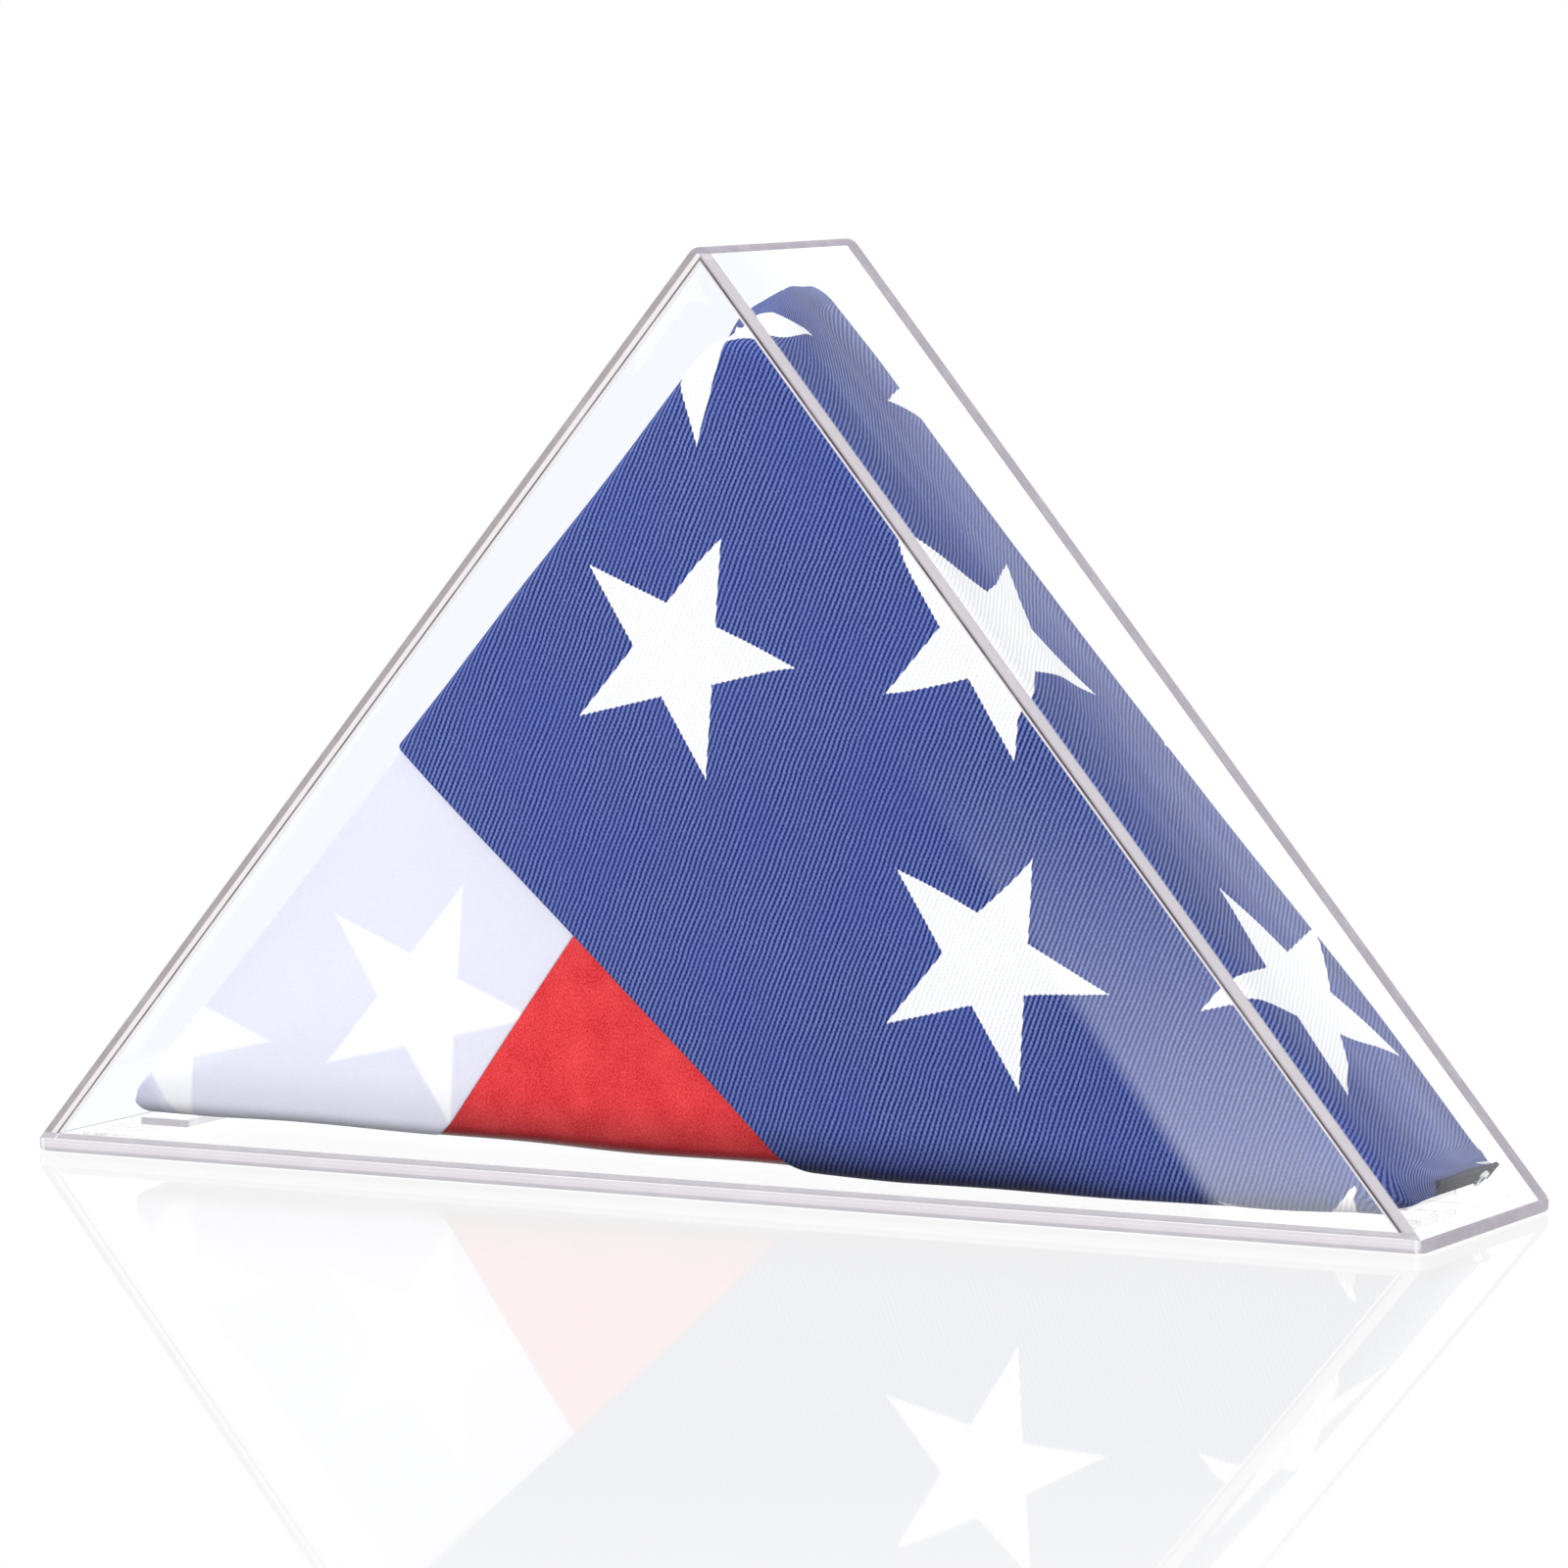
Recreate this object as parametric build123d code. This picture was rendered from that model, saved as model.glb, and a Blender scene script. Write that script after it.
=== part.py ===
from build123d import *
import os

# ---------------------------------------------------------------- driving dimensions, mm
# Frame: +Z up, front faces -Y, +X to the viewer's right, origin at the centre of the underside.
SHEET = 3.0            # clear sheet used for every wall
BASE_LENGTH = 340.0    # base plate, end to end
BASE_DEPTH = 71.0      # base plate, front to back
BASE_CORNER_R = 3.0    # vertical corners of the base plate
BASE_END_R = 1.3       # rounded nose along the rim of the base plate
COVER_WIDTH = 338.0    # cover where it stands on the base
COVER_DEPTH = 70.0
APEX_HEIGHT = 208.4    # where the two roof walls would meet if the ridge were sharp
RIDGE_R = 3.3          # outside radius along the ridge
PANE_EASE = 0.5        # small bevel round the outer rim of the front and back panes
STEP_HEIGHT = 1.4      # raised locating step on the base
STEP_GAP = 0.5         # play between the step and the inside of the cover
STEP_CORNER_R = 2.3
REST_SIZE = (12.0, 28.0, 2.0)
REST_LEFT_X = -149.0
REST_RIGHT_X = 149.0

FLAG_LEFT_X = -157.6   # folded flag, lower left corner before rounding
FLAG_RIGHT_X = 161.3   # folded flag, lower right corner before rounding
FLAG_TOP = (3.4, 195.8)
FLAG_FRONT_Y = -26.0   # outermost cloth layer
FLAG_BACK_Y = 28.0
FLAG_LEFT_R = 3.6      # rounded folds at the three tips
FLAG_RIGHT_R = 1.4
FLAG_TOP_R = 9.0
FLAG_BACK_R = 1.2      # rounded folds round the back
PLY = 1.2              # one visible layer of folded cloth
PLY_GAP = 0.1
TUCK = 8.0             # how far the striped tail is pushed into the pocket
HEM_TOP = (-79.3, 93.9)      # pocket edge where it meets the left fold
HEM_FOOT = (16.4, 8.0)       # pocket edge where it meets the lower fold
STRIPE_HEM = (-36.4, 55.6)   # seam between the white and the red stripe, at the pocket edge
STRIPE_FOOT = (-70.8, 8.0)   # the same seam at the lower fold

TIP_CUT_X = 155.8      # where the folded tip turns up and shows the heading
TIP_CUT_Y = (-6.0, 27.0)
HEADING_T = 1.2
HEADING_SPAN = (0.2, 4.4)    # from the lower fold up along the turned-up tip
GROMMET_OD = 4.4
GROMMET_ID = 2.0
GROMMET_T = 0.7
GROMMET_Y = 19.0

# ---------------------------------------------------------------- derived
COVER_FOOT = SHEET
STEP_TOP = SHEET + STEP_HEIGHT
REST_TOP = STEP_TOP + REST_SIZE[2]
HALF = COVER_WIDTH / 2
RISE = APEX_HEIGHT - COVER_FOOT
SLOPE = (HALF ** 2 + RISE ** 2) ** 0.5
WALL_X = SHEET * SLOPE / RISE          # horizontal width of a sloping wall
INNER_APEX = APEX_HEIGHT - SHEET * SLOPE / HALF


def prism(points, y0, y1):
    """Solid between two Y planes with the given outline in X and Z."""
    outline = Polyline([(x, y0, z) for x, z in points], close=True)
    return extrude(make_face(outline), amount=y1 - y0, dir=(0, 1, 0))


def y_edges(solid):
    return solid.edges().filter_by(Axis.Y)


def base_plate():
    plate = Pos(0, 0, SHEET / 2) * Box(BASE_LENGTH, BASE_DEPTH, SHEET)
    plate = fillet(plate.edges().filter_by(Axis.Z), BASE_CORNER_R)
    rim = plate.faces().sort_by(Axis.Z)[0].outer_wire().edges()
    plate = fillet(rim, BASE_END_R)
    rim = plate.faces().sort_by(Axis.Z)[-1].outer_wire().edges()
    return fillet(rim, 0.4)


def base_step():
    """Low plate that keeps the cover from sliding; its ends follow the sloping walls."""
    top_x = HALF - WALL_X - STEP_HEIGHT * HALF / RISE - STEP_GAP
    half_depth = COVER_DEPTH / 2 - SHEET - STEP_GAP
    step = Pos(0, 0, SHEET + STEP_HEIGHT / 2) * Box(2 * top_x, 2 * half_depth, STEP_HEIGHT)
    return fillet(step.edges().filter_by(Axis.Z), STEP_CORNER_R)


def flag_rest(x):
    block = Pos(x, 0, STEP_TOP + REST_SIZE[2] / 2) * Box(*REST_SIZE)
    return chamfer(block.faces().sort_by(Axis.Z)[-1].outer_wire().edges(), 0.4)


def sloping_wall(side):
    """One roof wall, mitred at the ridge and standing on the base plate."""
    points = [(side * HALF, COVER_FOOT), (side * (HALF - WALL_X), COVER_FOOT),
              (0, INNER_APEX), (0, APEX_HEIGHT)]
    wall = prism(points, -COVER_DEPTH / 2, COVER_DEPTH / 2)
    ridge_cut = prism(ridge_waste(side), -COVER_DEPTH, COVER_DEPTH)
    keep = Pos(0, 0, APEX_HEIGHT - RIDGE_R * SLOPE / HALF) * Rot(90, 0, 0) * Cylinder(RIDGE_R, 3 * COVER_DEPTH)
    return wall - (ridge_cut - keep)


def ridge_waste(side):
    """Sharp tip above the tangent point of the rounded ridge."""
    along = RIDGE_R * RISE / HALF
    tangent = (side * along * HALF / SLOPE, APEX_HEIGHT - along * RISE / SLOPE)
    centre = (0, APEX_HEIGHT - RIDGE_R * SLOPE / HALF)
    beyond = (side * (tangent[0] * side + 2), tangent[1] + 2 * HALF / RISE)
    return [centre, tangent, beyond, (side * 2, APEX_HEIGHT + 2), (0, APEX_HEIGHT + 2)]


def pane(front):
    """Triangular pane held between the two roof walls."""
    foot = HALF - WALL_X
    points = [(-foot, COVER_FOOT), (foot, COVER_FOOT), (0, INNER_APEX)]
    outer = -COVER_DEPTH / 2 if front else COVER_DEPTH / 2
    inner = outer + SHEET if front else outer - SHEET
    body = prism(points, min(outer, inner), max(outer, inner))
    face = body.faces().sort_by(Axis.Y)[0 if front else -1]
    return chamfer(face.outer_wire().edges(), PANE_EASE)


def flag_outline():
    return [(FLAG_LEFT_X, REST_TOP), (FLAG_RIGHT_X, REST_TOP), FLAG_TOP]


def heading_frame():
    """Directions of the turned-up tip: along it and square to it."""
    along = (HALF / SLOPE, RISE / SLOPE)
    out = (RISE / SLOPE, -HALF / SLOPE)
    return along, out


def tip_block(offset, y0, y1, length=40.0, thickness=40.0, start=-12.0):
    """Box lying on the turned-up tip, its inner face offset outwards from the cut plane."""
    along, out = heading_frame()

    def at(a, b):
        return (TIP_CUT_X + along[0] * a + out[0] * b, REST_TOP + along[1] * a + out[1] * b)
    return prism([at(start, offset), at(start + length, offset),
                  at(start + length, offset + thickness), at(start, offset + thickness)], y0, y1)


def folded_triangle(y0, y1):
    """Outline of the folded flag with its three rounded tips."""
    body = prism(flag_outline(), y0, y1)
    body = fillet(y_edges(body).sort_by(Axis.X)[0], FLAG_LEFT_R)
    body = fillet(y_edges(body).sort_by(Axis.X)[-1], FLAG_RIGHT_R)
    return fillet(y_edges(body).sort_by(Axis.Z)[-1], FLAG_TOP_R)


def canton_bundle():
    """Folded body of the blue field."""
    body = folded_triangle(FLAG_FRONT_Y + 2 * (PLY + PLY_GAP), FLAG_BACK_Y)
    body = fillet(body.faces().sort_by(Axis.Y)[-1].outer_wire().edges(), FLAG_BACK_R)
    return body - tip_block(0, TIP_CUT_Y[0], FLAG_BACK_Y + 5)


def front_ply(y0):
    return folded_triangle(y0, y0 + PLY)


def beyond_hem(shift):
    """Everything on the upper right of the hem, moved further up and right by shift."""
    dx, dz = HEM_FOOT[0] - HEM_TOP[0], HEM_FOOT[1] - HEM_TOP[1]
    size = (dx ** 2 + dz ** 2) ** 0.5
    ux, uz = dx / size, dz / size
    nx, nz, reach = -uz, ux, 250
    ax, az = HEM_TOP[0] - reach * ux + shift * nx, HEM_TOP[1] - reach * uz + shift * nz
    bx, bz = HEM_FOOT[0] + reach * ux + shift * nx, HEM_FOOT[1] + reach * uz + shift * nz
    far = 300
    return prism([(ax, az), (bx, bz), (bx + far * nx, bz + far * nz), (ax + far * nx, az + far * nz)],
                 -60, 60)


def stripe_side():
    """Everything to the upper left of the seam between the two stripes."""
    dx, dz = STRIPE_HEM[0] - STRIPE_FOOT[0], STRIPE_HEM[1] - STRIPE_FOOT[1]
    size = (dx ** 2 + dz ** 2) ** 0.5
    ux, uz = dx / size, dz / size
    nx, nz = -uz, ux
    ax, az = STRIPE_FOOT[0] - 60 * ux, STRIPE_FOOT[1] - 60 * uz
    bx, bz = STRIPE_HEM[0] + 60 * ux, STRIPE_HEM[1] + 60 * uz
    return prism([(ax, az), (bx, bz), (bx + 300 * nx, bz + 300 * nz), (ax + 300 * nx, az + 300 * nz)],
                 -60, 60)


def pocket_fold():
    """Outer blue layer that forms the pocket."""
    return front_ply(FLAG_FRONT_Y) & beyond_hem(0)


def striped_tail():
    tail = front_ply(FLAG_FRONT_Y + PLY + PLY_GAP) - beyond_hem(TUCK)
    white = tail & stripe_side()
    red = tail - Pos(0.05, 0, -0.04) * stripe_side()
    return white, red


def heading():
    """Canvas heading strip, seen end on where the tip turns up."""
    low, high = HEADING_SPAN
    return tip_block(0.1, TIP_CUT_Y[0], TIP_CUT_Y[1], high - low, HEADING_T, low)


def grommet():
    along, out = heading_frame()
    mid, base = sum(HEADING_SPAN) / 2, 0.1 + HEADING_T + 0.05
    x = TIP_CUT_X + along[0] * mid + out[0] * base
    z = REST_TOP + along[1] * mid + out[1] * base
    frame = Plane(origin=(x, GROMMET_Y, z), x_dir=(0, 1, 0), z_dir=(out[0], 0, out[1]))
    disc = Pos(0, 0, GROMMET_T / 2) * Cylinder(GROMMET_OD / 2, GROMMET_T)
    hole = Pos(0, 0, GROMMET_T / 2) * Cylinder(GROMMET_ID / 2, 2 * GROMMET_T)
    ring = disc - hole
    top = ring.edges().filter_by(GeomType.CIRCLE).sort_by(Axis.Z)[-2:]
    ring = fillet(top, 0.25)
    return frame * ring


def build():
    white, red = striped_tail()
    return {
        "base_plate": base_plate(),
        "base_step": base_step(),
        "flag_rest_left": flag_rest(REST_LEFT_X),
        "flag_rest_right": flag_rest(REST_RIGHT_X),
        "left_wall": sloping_wall(-1),
        "right_wall": sloping_wall(1),
        "front_pane": pane(True),
        "back_pane": pane(False),
        "flag_canton_bundle": canton_bundle(),
        "flag_canton_pocket_fold": pocket_fold(),
        "flag_white_stripe": white,
        "flag_red_stripe": red,
        "flag_heading": heading(),
        "flag_grommet": grommet(),
    }


os.makedirs("parts", exist_ok=True)
for name, shape in build().items():
    solids = shape.solids()
    print(name, len(solids), round(sum(s.volume for s in solids), 1), shape.bounding_box())
    export_step(Compound(children=solids) if len(solids) > 1 else solids[0], f"parts/{name}.step")
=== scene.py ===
import math

import bpy
import numpy as np
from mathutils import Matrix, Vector


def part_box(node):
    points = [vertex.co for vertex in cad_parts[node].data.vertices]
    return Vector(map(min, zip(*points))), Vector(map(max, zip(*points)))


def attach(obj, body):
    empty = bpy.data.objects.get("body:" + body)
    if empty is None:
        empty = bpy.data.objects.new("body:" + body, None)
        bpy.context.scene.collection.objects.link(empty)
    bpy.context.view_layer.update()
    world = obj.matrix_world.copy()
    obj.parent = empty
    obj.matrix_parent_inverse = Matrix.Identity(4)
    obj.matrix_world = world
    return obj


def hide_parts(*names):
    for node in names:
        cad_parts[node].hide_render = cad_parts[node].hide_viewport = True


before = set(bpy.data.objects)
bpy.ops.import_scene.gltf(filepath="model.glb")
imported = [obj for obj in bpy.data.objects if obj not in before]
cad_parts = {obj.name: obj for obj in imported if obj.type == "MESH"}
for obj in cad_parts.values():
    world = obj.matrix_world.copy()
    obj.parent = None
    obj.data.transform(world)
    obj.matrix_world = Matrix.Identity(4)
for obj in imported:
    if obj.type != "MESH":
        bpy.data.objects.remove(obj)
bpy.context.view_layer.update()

MM = 0.001


# ---------------------------------------------------------------- places taken from the frame, mm
def box_mm(node):
    """Lowest and highest corner of a piece of the frame."""
    lo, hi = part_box(node)
    return np.array(lo) / MM, np.array(hi) / MM


wall_lo, wall_hi = box_mm("right_wall")
pane_hi = box_mm("front_pane")[1]
plate_lo, plate_hi = box_mm("base_plate")
step_hi = box_mm("base_step")[1]
bundle_lo, bundle_hi = box_mm("flag_canton_bundle")
pocket_lo = box_mm("flag_canton_pocket_fold")[0]
heading_lo, heading_hi = box_mm("flag_heading")

SHEET = plate_hi[2] - plate_lo[2]          # clear sheet thickness
FOOT_Z = plate_hi[2]                       # the cover stands here
HALF = wall_hi[0]                          # half the cover's width
WALL_RUN = HALF - pane_hi[0]               # a wall's thickness measured level
LEAN_N = np.array([SHEET / WALL_RUN, math.sqrt(1 - (SHEET / WALL_RUN) ** 2)])  # right wall, outward (x, z)
OUTER_D = LEAN_N @ np.array([HALF, FOOT_Z])
CASE_FRONT, CASE_BACK = wall_lo[1], wall_hi[1]

FRONT_Y = pocket_lo[1]                     # outermost cloth on the front
BACK_Y = bundle_hi[1]
FLOOR_Z = bundle_lo[2]                     # underside of the folded flag
LEFT_X = bundle_lo[0] - 4.1                # corners of the folded triangle before rounding
RIGHT_X = bundle_hi[0] + 1.6
TOP = np.array([3.4, bundle_hi[2] + 5.0])
TIP_X = heading_lo[0] - 0.3                # the tip that carries the heading
CLEAR_OF_WALL = 0.25                       # cloth stays this far from the left wall


def unit(v):
    v = np.asarray(v, float)
    return v / np.linalg.norm(v)


# The folded triangle seen from the front, in (x, z), and the outward directions of its three sides.
LEFT = np.array([LEFT_X, FLOOR_Z])
RIGHT = np.array([RIGHT_X, FLOOR_Z])
right_leg = unit(TOP - RIGHT)
left_leg = unit(TOP - LEFT)
N_RIGHT = np.array([right_leg[1], -right_leg[0]])
N_LEFT = np.array([-left_leg[1], left_leg[0]])
N_DOWN = np.array([0.0, -1.0])


# ---------------------------------------------------------------- small node language
class Sock:
    """A shader value that takes part in ordinary arithmetic."""

    def __init__(self, g, s):
        self.g, self.s = g, s

    def __add__(self, o):
        return self.g.m("ADD", self, o)

    def __radd__(self, o):
        return self.g.m("ADD", o, self)

    def __sub__(self, o):
        return self.g.m("SUBTRACT", self, o)

    def __rsub__(self, o):
        return self.g.m("SUBTRACT", o, self)

    def __mul__(self, o):
        return self.g.m("MULTIPLY", self, o)

    def __rmul__(self, o):
        return self.g.m("MULTIPLY", o, self)

    def __truediv__(self, o):
        return self.g.m("DIVIDE", self, o)

    def __neg__(self):
        return self.g.m("MULTIPLY", self, -1.0)


class Graph:
    """Builds one node tree. Lengths are in mm, colours are linear."""

    def __init__(self, tree):
        self.t = tree
        tree.nodes.clear()

    def node(self, kind, **props):
        n = self.t.nodes.new(kind)
        for k, v in props.items():
            setattr(n, k, v)
        return n

    def put(self, socket, value):
        if isinstance(value, Sock):
            self.t.links.new(value.s, socket)
        elif isinstance(value, bpy.types.NodeSocket):
            self.t.links.new(value, socket)
        elif isinstance(value, (tuple, list)) and len(value) == 3 and len(socket.default_value) == 4:
            socket.default_value = (*value, 1.0)
        else:
            socket.default_value = value

    def m(self, op, *args, clamp=False):
        n = self.node("ShaderNodeMath", operation=op, use_clamp=clamp)
        for i, a in enumerate(args):
            self.put(n.inputs[i], a)
        return Sock(self, n.outputs[0])

    def step(self, x, lo, hi):
        """0 below lo, 1 above hi, smooth between."""
        n = self.node("ShaderNodeMapRange", interpolation_type="SMOOTHSTEP")
        self.put(n.inputs["Value"], x)
        n.inputs["From Min"].default_value, n.inputs["From Max"].default_value = lo, hi
        return Sock(self, n.outputs[0])

    def band(self, x, lo, hi, soft):
        """1 between lo and hi, with soft ends."""
        return self.step(x, lo - soft, lo + soft) * (1.0 - self.step(x, hi - soft, hi + soft))

    def near(self, x, at, half, soft):
        """1 within half of a value, with soft ends."""
        return self.band(x, at - half, at + half, soft)

    def xyz(self, vector):
        n = self.node("ShaderNodeSeparateXYZ")
        self.put(n.inputs[0], vector)
        return [Sock(self, o) for o in n.outputs]

    def vec(self, x, y, z=0.0):
        n = self.node("ShaderNodeCombineXYZ")
        for i, v in enumerate((x, y, z)):
            self.put(n.inputs[i], v)
        return Sock(self, n.outputs[0])

    def place(self):
        """Where the shaded point is at rest, mm."""
        n = self.node("ShaderNodeTexCoord")
        return [c * (1 / MM) for c in self.xyz(n.outputs["Object"])]

    def normal(self):
        return self.xyz(self.node("ShaderNodeNewGeometry").outputs["True Normal"])

    def unfolded(self):
        """Place on the unfolded cloth, mm."""
        n = self.node("ShaderNodeUVMap", uv_map="unfolded")
        return self.xyz(n.outputs[0])[:2]

    def noise(self, vector, scale, detail=2.0, rough=0.5):
        n = self.node("ShaderNodeTexNoise")
        self.put(n.inputs["Vector"], vector)
        n.inputs["Scale"].default_value = scale
        n.inputs["Detail"].default_value = detail
        n.inputs["Roughness"].default_value = rough
        return Sock(self, n.outputs[0])

    def mix(self, f, a, b, kind="MIX"):
        n = self.node("ShaderNodeMix", data_type="RGBA", blend_type=kind)
        self.put(n.inputs[0], f)
        self.put(n.inputs[6], a)
        self.put(n.inputs[7], b)
        return Sock(self, n.outputs[2])

    def shaders(self, f, a, b):
        """Shader a where f is 0, b where f is 1."""
        n = self.node("ShaderNodeMixShader")
        self.put(n.inputs[0], f)
        self.put(n.inputs[1], a)
        self.put(n.inputs[2], b)
        return n.outputs[0]

    def both(self, a, b):
        """Shader a with b added on top."""
        n = self.node("ShaderNodeAddShader")
        self.put(n.inputs[0], a)
        self.put(n.inputs[1], b)
        return n.outputs[0]

    def shader(self, kind, **values):
        n = self.node(kind)
        for k, v in values.items():
            self.put(n.inputs[k.replace("_", " ")], v)
        return n.outputs[0]

    def principled(self, color, rough, bump=None, dist=0.0002, strength=1.0, **extra):
        n = self.node("ShaderNodeBsdfPrincipled")
        self.put(n.inputs["Base Color"], color)
        self.put(n.inputs["Roughness"], rough)
        for k, v in extra.items():
            self.put(n.inputs[k.replace("_", " ")], v)
        if bump is not None:
            b = self.node("ShaderNodeBump")
            b.inputs["Strength"].default_value = strength
            b.inputs["Distance"].default_value = dist
            self.put(b.inputs["Height"], bump)
            self.t.links.new(b.outputs[0], n.inputs["Normal"])
        return n.outputs[0]

    def out(self, surface):
        n = self.node("ShaderNodeOutputMaterial")
        self.t.links.new(surface, n.inputs[0])


def material(name):
    m = bpy.data.materials.new(name)
    m.use_nodes = True
    return m, Graph(m.node_tree)


def srgb(r, g, b):
    """0..255 screen colour to linear."""
    return tuple((c / 255 / 12.92) if c <= 10 else ((c / 255 + 0.055) / 1.055) ** 2.4 for c in (r, g, b))


# ---------------------------------------------------------------- cloth materials
TWILL_PITCH = 1.147                             # mm from rib to rib
TWILL_ANGLE = math.radians(67.8)
STAR_R = 28.8
GHOST_STAR_R = 28.3
STAR_TURN = math.radians(68)
LATTICE_O = (-9.8, 119.6)                       # centre of one star
LATTICE_ANGLE = math.radians(49.5)
LATTICE_U, LATTICE_V = 57.6, 49.4               # half steps along a row and across the rows
LATTICE_FAR = 41                                # odd count of steps that keeps the modulo above 0
NO_STAR = 60.0                                  # pushes the signed distance well outside every star
LAST_ROW = -30.0                                # along the rows: no stars before this
TOP_CUT = 204.0                                 # height where the top star ends
SLOPE_N = (float(N_RIGHT[0]), float(N_RIGHT[1]))     # outward across the right fold
SLOPE_D = float(np.dot(SLOPE_N, RIGHT))


def star_distance(g, x, y, turn, radius):
    """Signed distance in mm to a five-pointed star centred on 0, 0: above 0 inside."""
    inner = radius * math.sin(math.radians(18)) / math.sin(math.radians(54))
    r = g.m("SQRT", x * x + y * y)
    a = g.m("ARCTAN2", y, x) - (turn - 10 * math.pi)
    a = g.m("PINGPONG", a, math.pi / 5)
    px, py = r * g.m("COSINE", a), r * g.m("SINE", a)
    bx, by = inner * math.cos(math.pi / 5) - radius, inner * math.sin(math.pi / 5)
    size = math.hypot(bx, by)
    return ((px - radius) * (-by / size) + py * (bx / size))


def across_fold(x, y):
    """Distance beyond the right fold on the unfolded cloth, below 0 on the front."""
    return x * SLOPE_N[0] + y * SLOPE_N[1] - SLOPE_D


def star_field(g, x, y):
    """Signed distance to rows of stars, each row shifted by half a step. The cloth is not folded quite
    square, so the rows are moved a little across the right fold (spread), along it (slide) and at the
    top (pull)."""
    c, s = math.cos(LATTICE_ANGLE), math.sin(LATTICE_ANGLE)
    left_of_top = 1.0 - g.step(x, 25.0, 45.0)
    pull = g.step(y, 148.0, 160.0) * left_of_top
    out = across_fold(x, y)
    side = g.m("DIVIDE", out + 4.0, 23.0, clamp=True)
    below = 1.0 - g.step(y, 140.0, 162.0)
    rear = g.step(out, 14.0, 36.0) * g.step(y, 160.0, 178.0) * 7.0
    spread = side * (g.step(y, 50.0, 115.0) * 4.0 + 0.5) + rear
    spread = spread - g.step(out, -45.0, -14.0) * (1.0 - side) * below * 4.0
    front_slide = g.step(out, -45.0, -20.0) * below * 3.0
    slide = front_slide + side * (5.0 - y * 0.028 + (1.0 - below) * 2.5) + rear
    pull_x = pull * (2.8 - (y - 163.3) * 0.216)
    pull_y = pull * (2.6 - (y - 163.3) * 0.11)
    dx = x - LATTICE_O[0] + pull_x - spread * SLOPE_N[0] - slide * SLOPE_N[1]
    dy = y - LATTICE_O[1] + pull_y - spread * SLOPE_N[1] + slide * SLOPE_N[0]
    a, b = dx * c + dy * s, dy * c - dx * s
    best = None
    for shift in (0.0, 1.0):
        steps = LATTICE_FAR - shift
        la = g.m("FLOORED_MODULO", a + LATTICE_U * steps, 2 * LATTICE_U) - LATTICE_U
        lb = g.m("FLOORED_MODULO", b + LATTICE_V * steps, 2 * LATTICE_V) - LATTICE_V
        d = star_distance(g, la, lb, STAR_TURN - LATTICE_ANGLE, STAR_R)
        best = d if best is None else g.m("MAXIMUM", best, d)
    before = 1.0 - g.step(a, LAST_ROW, LAST_ROW + 1.0)
    over_top = g.step(y, TOP_CUT, TOP_CUT + 1.0) * left_of_top
    return best - g.m("MAXIMUM", before, over_top) * NO_STAR


def twill(g, x, y, angle=TWILL_ANGLE, pitch=TWILL_PITCH):
    """0..1 rib profile and the broken threads along each rib."""
    wob = (g.noise(g.vec(x, y), 0.09, 2.0) - 0.5) * 1.1
    across = (x * math.sin(angle) - y * math.cos(angle) + wob) * (2 * math.pi / pitch)
    along = (x * math.cos(angle) + y * math.sin(angle))
    rib = g.m("SINE", across) * 0.5 + 0.5
    row = g.m("FLOOR", across * (1 / (2 * math.pi)))
    thread = g.m("SINE", along * (2 * math.pi / 0.95) + row * 2.4) * 0.5 + 0.5
    return rib, thread


def fold_shade(g, y, color, depth, reach=12.0):
    """Painted shade: darkens the cloth where it turns under along the lower fold."""
    under = 1.0 - g.step(y, FLOOR_Z - 2.0, FLOOR_Z + reach)
    return g.mix(under * depth, color, g.mix(1.0, color, (0.10, 0.08, 0.13), "MULTIPLY"))


def blue_cloth():
    m, g = material("canton_twill")
    x, y = g.unfolded()
    rib, thread = twill(g, x, y)
    fine = g.noise(g.vec(x, y), 2.6, 2.0, 0.6)
    broad = g.noise(g.vec(x, y), 0.035, 2.0)
    edge = star_field(g, x, y) + (rib - 0.5) * 0.2 + (fine - 0.5) * 0.4
    star = g.step(edge, -0.12, 0.12)
    # Painted glints: small bright spots where single threads catch the light.
    thread_glint = g.step(g.noise(g.vec(x, y), 1.25, 1.0, 0.5), 0.62, 0.72)
    out = across_fold(x, y)
    along = x * -SLOPE_N[1] + y * SLOPE_N[0]
    # Painted light and shade on the side face: lighter streaks along the fold crests, darker bands beneath.
    side_light_and_shade = g.noise(g.vec(along * 0.02, out * 0.10), 1.0, 2.0, 0.5) - 0.5
    side_light_and_shade = side_light_and_shade * g.step(out, 2.0, 12.0) * 0.9
    weave = rib * 0.95 + thread * 0.24 - 0.2 + side_light_and_shade
    level = g.m("ADD", weave, (fine - 0.5) * 1.1 + thread_glint * 0.35, clamp=True)
    blue = g.mix(level, srgb(24, 34, 104), srgb(118, 136, 198))
    blue = g.mix(g.step(broad, 0.35, 0.7) * 0.22, blue, srgb(58, 70, 165))
    dots = g.step(rib * -1.0 + (thread * -0.8), -0.75, -0.2)
    white = g.mix(dots * 0.3 + (fine - 0.5) * 0.12, srgb(252, 252, 255), srgb(206, 208, 222))
    depth = 1.0 - g.step(x, 70.0, 110.0) * 0.6
    color = g.mix(star, fold_shade(g, y, blue, depth, 13.0), fold_shade(g, y, white, 0.2, 8.0))
    height = rib * 0.75 + thread * 0.2 + fine * 0.3 + star * 0.35
    surface = g.principled(color, 0.82, height, dist=0.00028, strength=0.55,
                           Sheen_Weight=0.12, Sheen_Roughness=0.4, Specular_IOR_Level=0.22)
    g.out(surface)
    return m


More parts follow.
